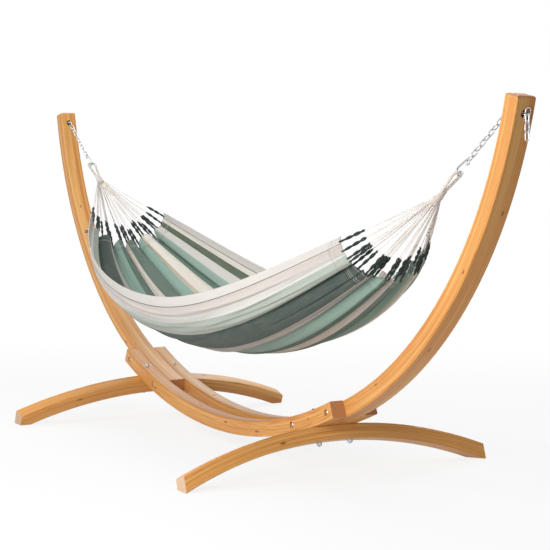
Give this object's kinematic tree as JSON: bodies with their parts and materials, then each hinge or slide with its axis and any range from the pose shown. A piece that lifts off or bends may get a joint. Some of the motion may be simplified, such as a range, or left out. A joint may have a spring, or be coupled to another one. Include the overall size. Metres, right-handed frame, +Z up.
{
  "type": "hammock on stand",
  "caption": "Striped cotton hammock hung by chains and hooks from the arms of a curved laminated wooden stand with arched cross feet.",
  "frame": {"origin": "on the floor, midway between the two arms", "axes": "+X along the stand towards the right arm, +Y towards the back, +Z up"},
  "size_m": [3.3258, 1.2, 1.2554],
  "materials": {
    "wood": "satin stain on laminated softwood",
    "zinc": "bright zinc plating",
    "rope": "matt cotton cord",
    "loops": "matt twisted cord",
    "border": "matt woven cotton",
    "cloth": "matt woven cotton with lengthwise stripes",
    "tab": "matt woven tape"
  },
  "bodies": {
    "stand": {"arm_left": "wood", "arm_right": "wood", "rail_front": "wood", "rail_back": "wood", "foot_left": "wood", "foot_right": "wood", "lap_bolts": "zinc", "lap_washers": "zinc", "lap_nuts": "zinc", "foot_bolts": "zinc", "foot_washers": "zinc", "foot_nuts": "zinc", "anchor_chain_left": "zinc", "anchor_chain_right": "zinc", "snap_hook_left": "zinc", "snap_hook_right": "zinc", "snap_pins": "zinc"},
    "hammock": {"chain_left": "zinc", "chain_right": "zinc", "hook_left": "zinc", "hook_right": "zinc", "rope_eye_left": "rope", "rope_eye_right": "rope", "neck_whipping_left": "rope", "neck_whipping_right": "rope", "suspension_cords_left": "rope", "suspension_cords_right": "rope", "hem_loops_left": "loops", "hem_loops_right": "loops", "end_hem_left": "cloth", "end_hem_right": "cloth", "side_border_front": "border", "side_border_back": "border", "bed_cloth": "cloth", "side_tab": "tab"},
    "spare_left": {"spare_chain_left": "zinc"},
    "spare_right": {"spare_chain_right": "zinc"},
    "gate_left": {"snap_gate_left": "zinc"},
    "gate_right": {"snap_gate_right": "zinc"}
  },
  "joints": [
    {"name": "hammock_swing", "type": "hinge", "parent": "stand", "child": "hammock", "pos_m": [0, 0, 1.21111], "axis": [1, 0, 0], "range_deg": [-30, 30]},
    {"name": "spare_swing_left", "type": "hinge", "parent": "stand", "child": "spare_left", "pos_m": [-1.65392, 0, 1.19237], "axis": [0, 1, 0], "range_deg": [-5, 60]},
    {"name": "spare_swing_right", "type": "hinge", "parent": "stand", "child": "spare_right", "pos_m": [1.65392, 0, 1.19237], "axis": [0, -1, 0], "range_deg": [-5, 60]},
    {"name": "gate_turn_left", "type": "hinge", "parent": "stand", "child": "gate_left", "pos_m": [-1.6451, 0.017, 1.20209], "axis": [-0.9704, 0, -0.2413], "range_deg": [0, 25], "stiffness_Nm_per_rad": 0.02},
    {"name": "gate_turn_right", "type": "hinge", "parent": "stand", "child": "gate_right", "pos_m": [1.6451, 0.017, 1.20209], "axis": [-0.9704, 0, 0.2413], "range_deg": [0, 25], "stiffness_Nm_per_rad": 0.02}
  ]
}
